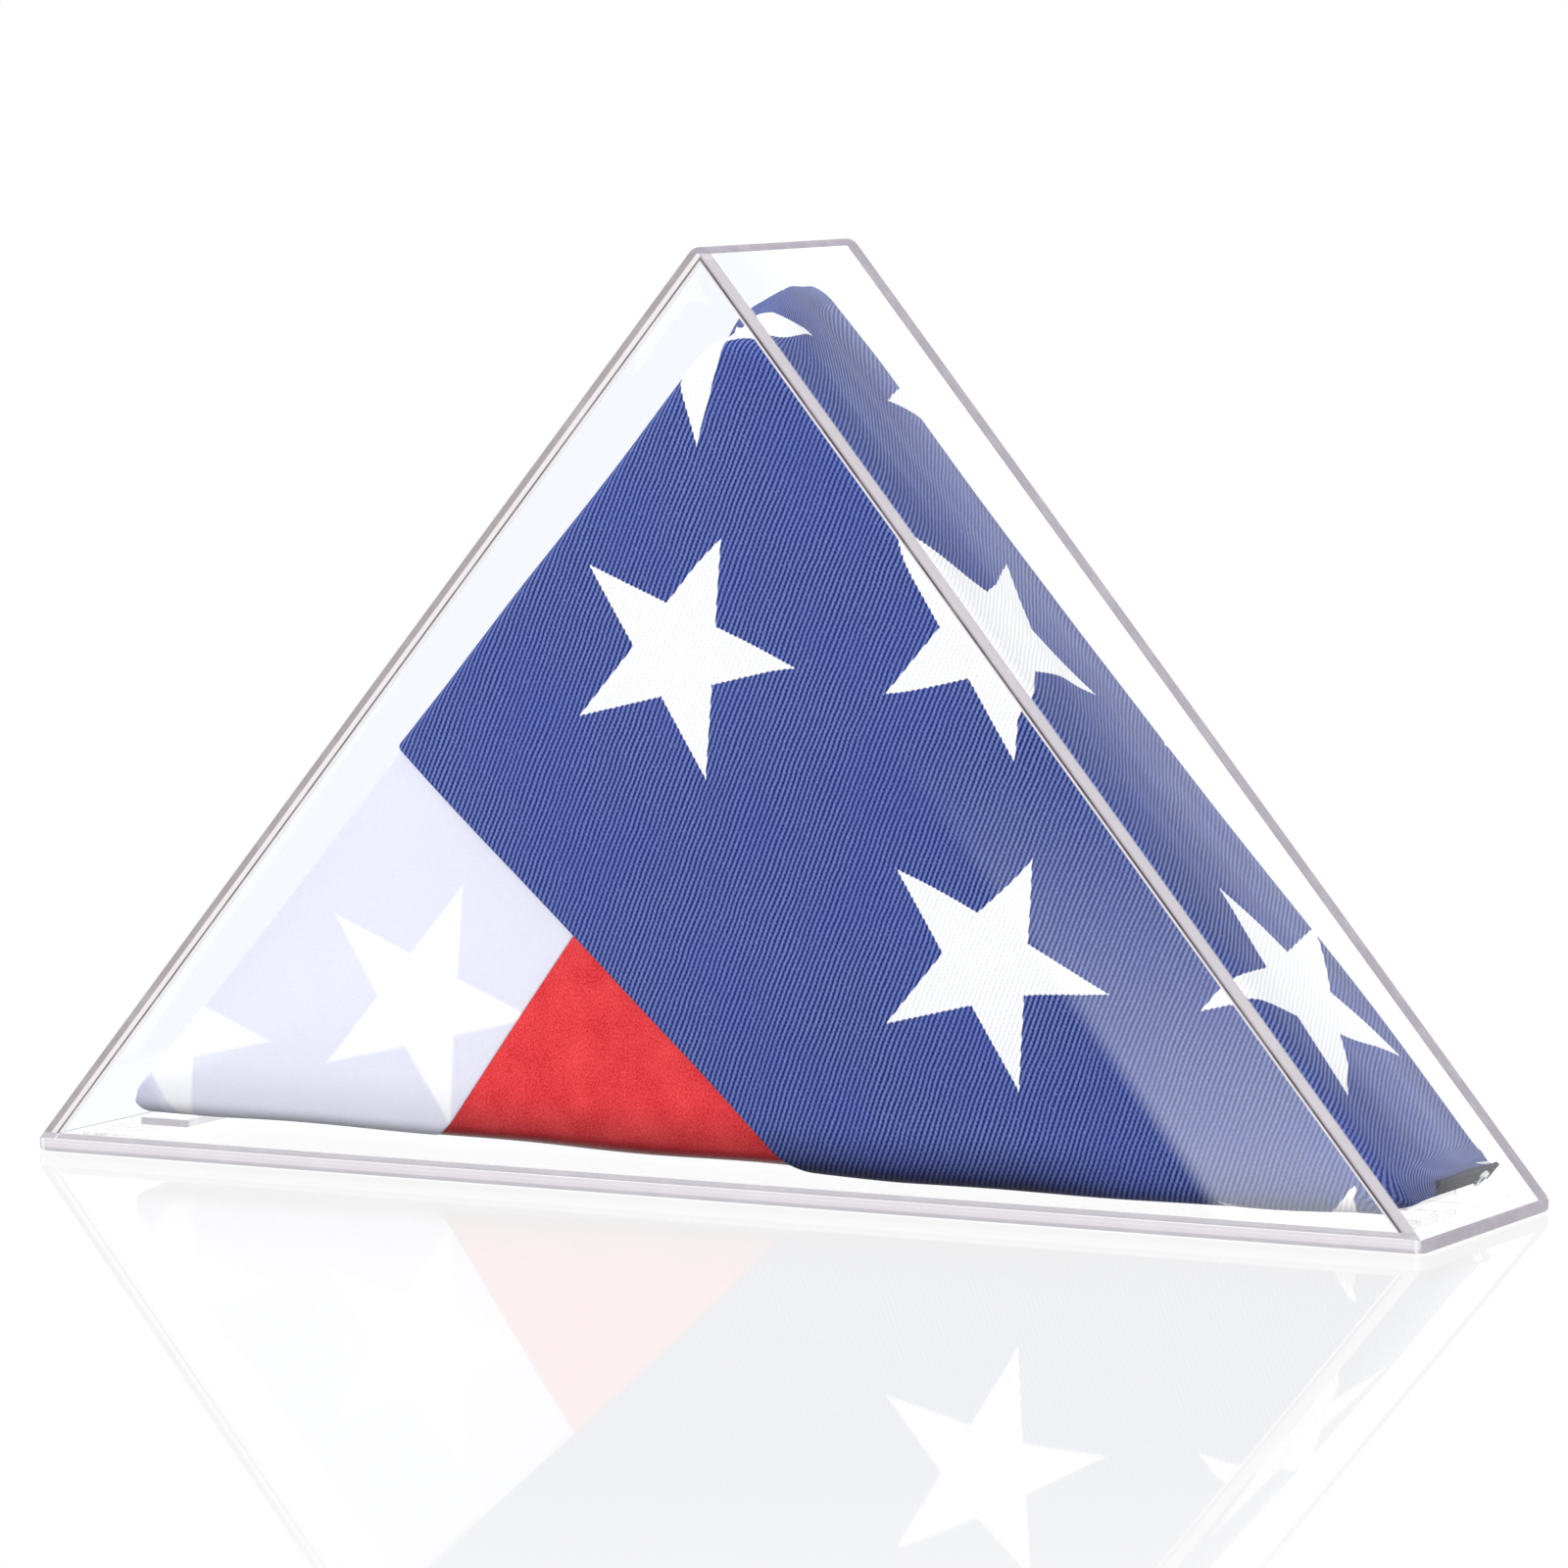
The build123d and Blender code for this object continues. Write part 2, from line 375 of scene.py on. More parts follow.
def white_cloth():
    m, g = material("white_stripe_weave")
    x, y = g.unfolded()
    rib, thread = twill(g, x, y, math.radians(70), 0.9)
    fine = g.noise(g.vec(x, y), 1.6, 3.0, 0.65)
    ghost = None
    for cx, cy in GHOST_STARS:
        d = star_distance(g, x - cx, y - cy, STAR_TURN, GHOST_STAR_R)
        ghost = d if ghost is None else g.m("MAXIMUM", ghost, d)
    ghost = g.step(ghost, -0.7, 0.7)
    base = g.mix(g.m("ADD", (fine - 0.5) * 0.9, 0.5, clamp=True), srgb(217, 218, 235), srgb(235, 235, 247))
    color = g.mix(ghost * 0.9, base, srgb(253, 253, 255))
    # Painted shade of a fold at the left tip: a darker lavender patch.
    tip_fold_shade = 1.0 - g.step(g.m("SQRT", (x + 158.0) * (x + 158.0) + (y - 5.0) * (y - 5.0)), 14.0, 17.0)
    color = g.mix(tip_fold_shade * 0.75, color, srgb(207, 209, 230))
    color = fold_shade(g, y, color, 0.32, 16.0)
    surface = g.principled(color, 0.7, rib * 0.4 + thread * 0.2 + fine * 0.5, dist=0.00015, strength=0.35,
                           Sheen_Weight=0.15, Sheen_Roughness=0.35, Specular_IOR_Level=0.25)
    g.out(surface)
    return m


def red_cloth():
    m, g = material("red_stripe_satin")
    x, y = g.unfolded()
    rib, thread = twill(g, x, y, math.radians(70), 0.8)
    fine = g.noise(g.vec(x, y), 1.9, 3.0, 0.7)
    broad = g.noise(g.vec(x, y), 0.12, 2.0)
    level = g.m("ADD", (fine - 0.5) * 2.2 + (broad - 0.5) * 1.0, 0.45 + rib * 0.1, clamp=True)
    color = fold_shade(g, y, g.mix(level, srgb(200, 18, 34), srgb(250, 80, 82)), 0.85, 15.0)
    surface = g.principled(color, g.m("ADD", fine * 0.25, 0.3), rib * 0.4 + thread * 0.3 + fine * 0.7,
                           dist=0.00018, strength=0.4, Sheen_Weight=0.3, Sheen_Roughness=0.3,
                           Specular_IOR_Level=0.4)
    g.out(surface)
    return m


def heading_cloth_in_painted_shade():
    m, g = material("heading_canvas")
    x, y, z = g.place()
    a, b = y, z * 0.8 + x * 0.6
    weave = g.m("SINE", a * (2 * math.pi / 0.7)) * g.m("SINE", b * (2 * math.pi / 0.7))
    fine = g.noise(g.vec(x, y, z), 1.5, 3.0, 0.6)
    level = g.m("ADD", weave * 0.35 + (fine - 0.5), 0.45, clamp=True)
    # Painted shade: the canvas is coloured near black for the shadow it lies in at the tip.
    color = g.mix(level, srgb(14, 16, 34), srgb(44, 48, 78))
    g.out(g.principled(color, 0.85, weave * 0.5 + fine * 0.5, dist=0.00025, strength=0.6))
    return m


def steel():
    m, g = material("grommet_steel")
    x, y, z = g.place()
    fine = g.noise(g.vec(x * 0.5, y * 6.0, z * 0.5), 1.2, 3.0, 0.6)
    color = g.mix(fine, srgb(178, 180, 184), srgb(236, 237, 240))
    g.out(g.principled(color, fine * 0.2 + 0.18, fine, dist=0.00005, strength=0.2, Metallic=1.0))
    return m


# ---------------------------------------------------------------- clear sheet
SHEET_IOR = 1.49
EDGE_COVER = 0.93                               # how much of an edge band hides what is behind it
EDGE_PAINTED_GLOW = 0.8                                 # share of an edge band that is painted glow (emission), not lit
BLACK, WHITE = (0.0, 0.0, 0.0), (1.0, 1.0, 1.0)
# Edge band colours: painted reflections of the clear sheets seen on edge, and a painted highlight line.
MAUVE_REFLECTION = srgb(172, 165, 178)
PINK_GREY_REFLECTION = srgb(219, 213, 220)
DARK_REFLECTION_LINE = srgb(100, 88, 92)
HIGHLIGHT_LINE = srgb(250, 248, 248)
BASE_GREY_REFLECTION = srgb(199, 196, 203)


def viewed(g):
    """1 for rays from the camera, also after they have passed through a sheet."""
    ray = g.node("ShaderNodeLightPath")
    return g.m("MAXIMUM", Sock(g, ray.outputs["Is Camera Ray"]), Sock(g, ray.outputs["Is Transmission Ray"]))


def clear(name, paint, mirror=1.0, sweep=None, smear=(0.004, 0.03), bends=False):
    """Polished clear sheet. paint(g, x, y, z, n) gives (tint, cover) pairs: the first only tints what is
    seen through the sheet, the rest are painted reflections where the sheet is seen on edge, weakest first.
    mirror scales the reflection, sweep(g, x, y, z) limits it to a place, smear is its blur, and bends
    is for a sheet whose broad faces bend what is seen through them."""
    m, g = material(name)
    m.cycles.emission_sampling = "NONE"
    x, y, z = g.place()
    n = g.normal()
    geo = g.node("ShaderNodeNewGeometry")
    outside = 1.0 - Sock(g, geo.outputs["Backfacing"])
    layers = paint(g, x, y, z, n)
    haze = g.mix(outside * layers[0][1], WHITE, layers[0][0])
    tint, edge = HIGHLIGHT_LINE, None
    for color, cover in layers[1:]:
        tint = g.mix(cover, tint, color)
        edge = cover if edge is None else g.m("MAXIMUM", edge, cover)
    fres = Sock(g, g.shader("ShaderNodeFresnel", IOR=SHEET_IOR))
    shine = g.m("MULTIPLY", fres * mirror, outside, clamp=True)
    if sweep is not None:
        shine = shine * sweep(g, x, y, z)
    rough = g.noise(g.vec(x, y, z), 0.02, 3.0, 0.6) * smear[1] + smear[0]
    see = g.shader("ShaderNodeBsdfTransparent", Color=haze)
    if bends:
        broad = g.step(g.m("ABSOLUTE", n[0] * LEAN_N[0] + n[2] * LEAN_N[1]), 0.9, 0.95)
        bent = g.shader("ShaderNodeBsdfRefraction", Color=haze, Roughness=0.0, IOR=SHEET_IOR)
        see = g.shaders(viewed(g) * broad, see, bent)
    gloss = g.shader("ShaderNodeBsdfGlossy", Color=g.mix(shine, BLACK, WHITE), Roughness=rough)
    sheet = g.both(see, gloss)
    # Painted highlight streaks: the edge bands lighten here and there towards the highlight colour.
    highlight_streak = g.noise(g.vec(x * 0.25, y * 0.25, z * 0.25), 0.6, 2.0, 0.6)
    tint = g.mix(g.m("MULTIPLY", (highlight_streak - 0.45) * 0.5, 1.0, clamp=True), tint, HIGHLIGHT_LINE)
    # The edge bands are painted reflections, shown mostly as painted glow (emission) and only partly lit.
    body = g.principled(tint, 0.16, Specular_IOR_Level=0.35)
    body = g.shaders(EDGE_PAINTED_GLOW, body, g.shader("ShaderNodeEmission", Color=tint, Strength=1.0))
    g.out(g.shaders(g.m("MULTIPLY", edge * outside, EDGE_COVER, clamp=True), sheet, body))
    return m


def across_wall(g, x, z, side):
    """Depth below the outer face of a roof wall, mm."""
    return OUTER_D - (x * (side * LEAN_N[0]) + z * LEAN_N[1])


def seen_from_back(g):
    """1 for a viewer behind the case, 0 for one in front of it."""
    return g.step(g.xyz(g.node("ShaderNodeNewGeometry").outputs["Incoming"])[1], -0.05, 0.05)


def wall_paint(side):
    """Painted reflection bands on the edges of a roof wall: side is 1 for the right wall, -1 for the left."""
    def paint(g, x, y, z, n):
        d = across_wall(g, x, z, side)
        end = g.step(g.m("ABSOLUTE", n[1]), 0.7, 0.8)
        outer = g.step(n[0] * (side * LEAN_N[0]) + n[2] * LEAN_N[1], 0.5, 0.6)
        behind = seen_from_back(g)
        # Painted reflection: the mauve edge of the back pane seen through the wall, or of the front pane when
        # seen from behind; painted reflection bands also run along the ridge and the foot.
        rear = g.step(y, CASE_BACK - 5.3, CASE_BACK - 5.1) * (1.0 - behind)
        fore = (1.0 - g.step(y, CASE_FRONT + 5.1, CASE_FRONT + 5.3)) * behind
        ridge = g.step(z, wall_hi[2] - 1.5, wall_hi[2] - 1.3)
        low = (1.0 - g.step(z, FOOT_Z + 1.3, FOOT_Z + 1.5)) * end
        haze = (srgb(253, 254, 254), outer) if side > 0 else (srgb(247, 249, 252), 1.0)
        layers = [haze, (MAUVE_REFLECTION, g.m("MAXIMUM", rear, fore) * outer)]
        if side > 0:
            layers += [(PINK_GREY_REFLECTION, end), (srgb(193, 184, 196), g.band(d, 1.95, 2.4, 0.15) * end * 0.8),
                       (DARK_REFLECTION_LINE, g.band(d, 2.4, 2.95, 0.1) * end)]
        else:
            layers += [(srgb(242, 236, 237), end), (srgb(168, 159, 162), (1.0 - g.step(d, 1.35, 1.6)) * end),
                       (srgb(120, 108, 110), g.band(d, 2.55, 3.1, 0.1) * end)]
        layers += [(BASE_GREY_REFLECTION, low), (MAUVE_REFLECTION, ridge * g.m("MAXIMUM", outer, end))]
        return layers
    return paint


def pane_paint(front):
    """Painted reflection bands and painted highlight lines on a triangular pane, where it meets the two walls
    and the base.
    """
    def paint(g, x, y, z, n):
        dr, dl = across_wall(g, x, z, 1), across_wall(g, x, z, -1)
        face = g.step(n[1] * (-1.0 if front else 1.0), 0.3, 0.5)
        inner = g.step(n[1] * (1.0 if front else -1.0), 0.3, 0.5)
        low = (1.0 - g.step(z, FOOT_Z + 1.3, FOOT_Z + 1.5)) * face
        right = g.band(dr, SHEET - 0.2, SHEET + 0.45, 0.12) * face
        left = g.band(dl, SHEET + 0.3, SHEET + 0.9, 0.15) * face
        dark = (1.0 - g.step(dl, SHEET + 0.1, SHEET + 0.25)) * face
        far = g.band(dl, SHEET - 0.2, SHEET + 0.5, 0.15) * inner
        return [(srgb(253, 254, 254), face), (srgb(236, 232, 234), far * 0.7),
                (srgb(236, 234, 238), right), (srgb(222, 217, 230), left * 0.8), (DARK_REFLECTION_LINE, dark * 0.9),
                (BASE_GREY_REFLECTION, low)]
    return paint


def plate_paint(g, x, y, z, n):
    """Painted reflection bands and painted highlights along the rounded rim of the base plate."""
    side = 1.0 - g.step(n[2], 0.85, 0.97)
    reach = g.m("ABSOLUTE", x)
    end = g.step(reach, plate_hi[0] - 1.3, plate_hi[0] - 0.9)
    # Painted highlights: a lighter line along the rim and a bright line down the rounded corner.
    highlight_streak = g.near(z, 2.2, 0.2, 0.12)
    low = 1.0 - g.step(z, 0.95, 1.15)
    corner_highlight = g.near(reach, plate_hi[0] - 2.0, 0.35, 0.2) * side
    return [(srgb(254, 254, 254), 1.0 - side), (srgb(225, 220, 227), side),
            (srgb(233, 228, 235), highlight_streak * side), (BASE_GREY_REFLECTION, low * side),
            (srgb(246, 245, 248), corner_highlight), (MAUVE_REFLECTION, end)]


def step_paint(g, x, y, z, n):
    """Painted ragged inner reflections towards the ends of the locating step."""
    side = 1.0 - g.step(g.m("ABSOLUTE", n[2]), 0.5, 0.6)
    ends = g.step(g.m("ABSOLUTE", x), step_hi[0] - 26.0, step_hi[0] - 8.0)
    ragged = g.noise(g.vec(x * 0.10, y * 0.55, z * 0.4), 0.9, 4.0, 0.65)
    ragged_reflection = g.band(ragged, 0.56, 0.60, 0.012) + g.band(ragged, 0.40, 0.43, 0.012) * 0.6
    return [(srgb(254, 253, 254), 1.0 - side), (srgb(240, 238, 241), side * 0.3),
            (srgb(186, 182, 185), g.m("MULTIPLY", ragged_reflection, ends * 0.75, clamp=True))]


def rest_paint(g, x, y, z, n):
    """Small clear block with darker ends: painted reflection bands where it is seen on edge."""
    side = 1.0 - g.step(g.m("ABSOLUTE", n[2]), 0.5, 0.6)
    rim = g.step(g.m("ABSOLUTE", y), 12.2, 13.6)
    return [(srgb(246, 245, 248), 1.0 - side), (srgb(222, 219, 227), side * 0.75),
            (srgb(168, 162, 170), rim * side * 0.85)]


def wall_sweep(g, x, y, z):
    """The studio's soft box is mirrored only beyond a soft edge that runs down the wall."""
    return g.step(y, CASE_FRONT + 4.0, CASE_BACK - 22.0) * 0.85 + 0.15


# ---------------------------------------------------------------- wrapping the cloth round the bundle
TIP_AXIS = unit(N_RIGHT + N_DOWN)          # towards the pointed tip at the lower right
FOLD_R = {"right": 3.2, "left": 2.4, "down": 4.6}
TIP_R = {"left": 1.2, "right": 0.6, "top": 9.5}
BACK_R = 4.5


def crossing(n1, d1, n2, d2):
    """Point where two lines cross, each given by its normal and offset."""
    return np.linalg.solve(np.array([n1, n2]), np.array([d1, d2]))


def core_outline():
    """Points and outward normals of the triangle that the folds start from."""
    dr = N_RIGHT @ RIGHT - FOLD_R["right"]
    dl = N_LEFT @ LEFT - FOLD_R["left"]
    dd = N_DOWN @ RIGHT - FOLD_R["down"]
    tips = [(N_DOWN, dd, N_RIGHT, dr, TIP_R["right"]), (N_RIGHT, dr, N_LEFT, dl, TIP_R["top"]),
            (N_LEFT, dl, N_DOWN, dd, TIP_R["left"])]
    pts, nrm = [], []
    for n1, d1, n2, d2, r in tips:
        c = crossing(n1, d1 - r, n2, d2 - r)
        a1 = math.atan2(n1[1], n1[0])
        a2 = math.atan2(n2[1], n2[0])
        while a2 < a1:
            a2 += 2 * math.pi
        for a in np.linspace(a1, a2, 60):
            n = np.array([math.cos(a), math.sin(a)])
            pts.append(c + r * n)
            nrm.append(n)
    pts.append(pts[0])
    nrm.append(nrm[0])
    out_p, out_n = [], []
    for i in range(len(pts) - 1):
        k = max(1, int(np.linalg.norm(pts[i + 1] - pts[i]) / 0.5))
        for j in range(k):
            t = j / k
            out_p.append(pts[i] * (1 - t) + pts[i + 1] * t)
            out_n.append(unit(nrm[i] * (1 - t) + nrm[i + 1] * t))
    return np.array(out_p), np.array(out_n)


CORE_P, CORE_N = core_outline()
CHUNK = 4000                                    # points handled at a time


def fold_radius(n):
    """Outer fold radius for an outward direction, blended between the three sides."""
    weights = [np.clip(n @ s, 0, 1) ** 6 + 1e-6 for s in (N_RIGHT, N_LEFT, N_DOWN)]
    total = sum(weights)
    return sum(w * r for w, r in zip(weights, (FOLD_R["right"], FOLD_R["left"], FOLD_R["down"]))) / total


def nearest_core(q):
    """Nearest outline point, outward normal and signed distance (above 0 outside) for points q."""
    p, n, d = np.empty_like(q), np.empty_like(q), np.empty(len(q))
    for i in range(0, len(q), CHUNK):
        part = q[i:i + CHUNK]
        k = ((part[:, None] - CORE_P[None]) ** 2).sum(2).argmin(1)
        normal = CORE_N[k]
        tangent = np.stack([-normal[:, 1], normal[:, 0]], 1)
        foot = CORE_P[k] + tangent * np.clip(((part - CORE_P[k]) * tangent).sum(1), -0.3, 0.3)[:, None]
        sd = ((part - foot) * normal).sum(1)
        p[i:i + CHUNK], n[i:i + CHUNK], d[i:i + CHUNK] = foot, normal, sd
    return p, n, d


def wave(a, b, seed, size):
    """Smooth repeatable unevenness, about -1..1."""
    total = np.zeros_like(a)
    for k in range(5):
        t = seed * 1.7 + k * 2.399
        f = 2 * math.pi / (size * (0.55 + 0.23 * k))
        total += np.sin(f * (a * math.cos(t) + b * math.sin(t)) + seed * 3.1 + k * 1.3) / (1 + 0.5 * k)
    return total / 2.6


def wrap(q, lift=0.0):
    """Unfolded cloth points (mm) to places on the bundle, lift above its surface."""
    lift = np.broadcast_to(np.asarray(lift, float), (len(q),))
    p, n, d = nearest_core(q)
    r = fold_radius(n)
    crown = 1.1 * (1 - np.exp(np.minimum(d, 0) / 16)) + 0.35 * wave(q[:, 0], q[:, 1], 1.0, 95)
    crown *= 1 - np.exp(np.minimum(d, 0) / 6)
    quarter = r * math.pi / 2
    run = BACK_Y - FRONT_Y - r - BACK_R
    a = np.clip(d / r, 0, math.pi / 2)
    b = np.clip((d - quarter - run) / BACK_R, 0, math.pi / 2)
    back_in = np.clip(d - quarter - run - BACK_R * math.pi / 2, 0, None)
    flat = np.where(d > 0, 0.0, 1.0)[:, None] * (q - p)
    out = np.where(b > 0, r - BACK_R * (1 - np.cos(b)) - back_in, r * np.sin(a))
    y = FRONT_Y + r * (1 - np.cos(a)) + np.clip(d - quarter, 0, run) + BACK_R * np.sin(b)
    nx = np.where(b > 0, np.cos(b), np.sin(a))
    ny = np.where(b > 0, np.sin(b), -np.cos(a))
    h = lift + crown
    turn = np.arccos(np.clip(n @ TIP_AXIS, -1, 1)) / math.radians(65)
    point = 4.8 * np.clip(1 - turn, 0, 1) * np.exp(np.minimum(d, 0) / 5)
    side = 0.45 * wave(q[:, 0] * 0.6 + y * 1.4, q[:, 1] * 0.6, 2.0, 60) * np.clip(np.sin(a), 0, 1) * np.cos(b)
    xz = p + flat + n * (out + nx * h + side - 0.35 * np.sin(a))[:, None] + TIP_AXIS * point[:, None]
    y = y + ny * h
    return settle(np.stack([xz[:, 0], y, xz[:, 1]], 1))


def ease(x, lo, hi):
    """0 below lo, 1 above hi, smooth between."""
    t = np.clip((x - lo) / (hi - lo), 0, 1)
    return t * t * (3 - 2 * t)


TIP_OUT = np.array([LEAN_N[0], -LEAN_N[1]])
TIP_AT = np.array([TIP_X, FLOOR_Z])
LEFT_WALL_N = np.array([-LEAN_N[0], LEAN_N[1]])


def settle(v):
    """The rear of the top leans up and left, the lower edge of the front sags towards the right, the
    tip is pressed flat for the heading, and nothing passes into the left wall."""
    v = v.copy()
    up = ease(v[:, 1], FRONT_Y + 4, BACK_Y - 10)
    up *= ease(v[:, 2], 118, 190) * 4.6 + ease(v[:, 2], 165, 192) * 4.6
    v[:, 2] -= 1.8 * ease(v[:, 2], 40, 185) * (1 - ease(v[:, 1], -24, -6))
    v[:, 0] -= up * LEAN_N[1]
    v[:, 2] += up * LEAN_N[0]
    v[:, 0] -= ease(v[:, 1], -20, BACK_Y - 2) * (5.0 * ease(v[:, 2], 30, 125) + 1.2 * ease(v[:, 2], 175, 195))
    sag = np.clip(0.2 - 0.0171 * (v[:, 0] + 69), -1.7, 1.0) + 1.3 * ease(v[:, 0], 125, 158)
    sag *= 1 - ease(v[:, 2], FLOOR_Z + 3, FLOOR_Z + 26)
    v[:, 2] += sag * (1 - ease(v[:, 1], -19, -4))
    beyond = (v[:, [0, 2]] - TIP_AT) @ TIP_OUT
    push = np.clip(beyond + 0.1, 0, None) * ease(v[:, 1], heading_lo[1] - 2.5, heading_lo[1])
    v[:, 0] -= push * TIP_OUT[0]
    v[:, 2] -= push * TIP_OUT[1]
    past = np.clip(v[:, [0, 2]] @ LEFT_WALL_N - (OUTER_D - SHEET - CLEAR_OF_WALL), 0, None)
    v[:, 0] -= past * LEFT_WALL_N[0]
    v[:, 2] -= past * LEFT_WALL_N[1]
    return v


# ---------------------------------------------------------------- meshes
def make_mesh(name, verts, faces, uv=None):
    """A smooth piece on the flag body. verts in mm; uv is one unfolded place per vertex, or one per
    face corner."""
    mesh = bpy.data.meshes.new(name)
    mesh.from_pydata([tuple(v * MM) for v in verts], [], faces)
    mesh.update()
    if uv is not None:
        layer = mesh.uv_layers.new(name="unfolded")
        if len(uv) == len(verts):
            index = np.empty(len(mesh.loops), np.int32)
            mesh.loops.foreach_get("vertex_index", index)
            uv = np.asarray(uv)[index]
        layer.data.foreach_set("uv", np.asarray(uv, np.float32).ravel())
    mesh.polygons.foreach_set("use_smooth", np.ones(len(mesh.polygons), bool))
    o = bpy.data.objects.new(name, mesh)
    bpy.context.scene.collection.objects.link(o)
    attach(o, "flag")
    return o


def grid_faces(rows, cols, start=0, flip=False, wrap_cols=False):
    faces = []
    last = cols if wrap_cols else cols - 1
    for i in range(rows - 1):
        for j in range(last):
            a, b = start + i * cols + j, start + i * cols + (j + 1) % cols
            c, d = b + cols, a + cols
            faces.append((a, d, c, b) if flip else (a, b, c, d))
    return faces


def patch(corners, spacing):
    """Even grid of unfolded places over a four-sided region, corners given in order."""
    a, b, c, d = [np.asarray(k, float) for k in corners]
    rows = int(max(np.linalg.norm(d - a), np.linalg.norm(c - b)) / spacing) + 1
    cols = int(max(np.linalg.norm(b - a), np.linalg.norm(c - d)) / spacing) + 1
    s, t = np.meshgrid(np.linspace(0, 1, cols), np.linspace(0, 1, rows))
    s, t = s.ravel()[:, None], t.ravel()[:, None]
    q = (1 - t) * ((1 - s) * a + s * b) + t * ((1 - s) * d + s * c)
    return q, rows, cols


def thick(o, t):
    """Gives a sheet its thickness in mm and softens it."""
    mod = o.modifiers.new("cloth_thickness", "SOLIDIFY")
    mod.thickness = t * MM
    mod.offset = -1.0
    mod.use_even_offset = False
    mod.use_rim = True
    sub = o.modifiers.new("soft", "SUBSURF")
    sub.levels = sub.render_levels = 1
    return o


def line_side(point, direction):
    """Line as (normal, offset) with the normal to the left of the direction."""
    d = unit(direction)
    n = np.array([-d[1], d[0]])
    return n, n @ np.asarray(point, float)


HEM_TOP = np.array([-79.3, 93.9])
HEM_FOOT = np.array([16.4, 8.0])
SEAM_TOP = np.array([-36.4, 55.6])
SEAM_FOOT = np.array([-70.8, 8.0])
GHOST_STARS = ((-74.9, 38.2), (-142.5, 29.0))
HEM_DIR = unit(HEM_FOOT - HEM_TOP)
HEM_N = np.array([-HEM_DIR[1], HEM_DIR[0]])     # towards the upper right, into the pocket layer
HEM_D = HEM_N @ HEM_TOP
WRAP_SIDE = BACK_Y - FRONT_Y + 6.0
WRAP_LOW = 9.0
WRAP_TAIL_LEFT = 13.0
WRAP_TAIL_LOW = 12.0
TUCK = 7.0                                      # how far the tails run in under the pocket layer
WHITE_LIFT, RED_LIFT = -1.28, -1.12             # below the outermost cloth surface
TAIL_THICK = 0.3
POCKET_THICK = 0.42
POCKET_GRID = (118, 104)                        # rows along the hem, columns across
HEM_R = 0.55


def sheet_region(left_line, right_line):
    """Corners of the part of the wrapped cloth between two lines across it (top-left, top-right,
    bottom-right, bottom-left)."""
    top = (N_LEFT, N_LEFT @ LEFT + WRAP_LOW)
    low = (N_DOWN, N_DOWN @ RIGHT + WRAP_LOW)
    return [crossing(*left_line, *top), crossing(*right_line, *top), crossing(*right_line, *low),
            crossing(*left_line, *low)]


def pocket_layer():
    """Outer blue layer: front, round the right fold and along the side, with a rolled hem."""
    right = (N_RIGHT, N_RIGHT @ RIGHT + WRAP_SIDE)
    a, b, c, d = sheet_region((HEM_N, HEM_D + HEM_R), right)
    rows, cols = POCKET_GRID
    t = np.linspace(0, 1, rows)[:, None]
    left_edge, right_edge = a + (d - a) * t, b + (c - b) * t
    q, h = [], []
    roll = [(3.4, -2 * HEM_R)] + [(HEM_R * (1 - math.sin(f)), HEM_R * (math.cos(f) - 1))
                                  for f in np.radians([180, 150, 120, 90, 60, 30])]
    for s, lift in roll:
        q.append(left_edge + HEM_N * (s - HEM_R))
        h.append(np.full(rows, lift))
    for s in np.linspace(0, 1, cols):
        q.append(left_edge + (right_edge - left_edge) * s)
        h.append(np.zeros(rows))
    q, h = np.stack(q, 1).reshape(-1, 2), np.stack(h, 1).ravel()
    total = cols + len(roll)
    o = make_mesh("canton_pocket_cloth", wrap(q, h), grid_faces(rows, total, flip=True), q)
    return thick(o, POCKET_THICK)


BUNDLE_INSET = 1.55                             # the bundle lies this far under the outermost cloth
RING_SCALES = (0.03, 0.2, 0.4, 0.6, 0.78, 0.9, 0.97)
BACK_SHIFT = (31.0, 6.0)                        # places the star pattern on the back
COLUMNS = 420                                   # points round the bundle
SIDE_RINGS = 30                                 # from the front fold to the back
SIDE_FOLDS = 6                                  # folded edges that show along the left and lower sides
ROUNDING = 6                                    # neighbours each way that even out the back's outline


def from_behind(v):
    """Unfolded places for points on the back face."""
    return np.stack([BACK_SHIFT[0] - v[:, 0], v[:, 2] + BACK_SHIFT[1]], 1)


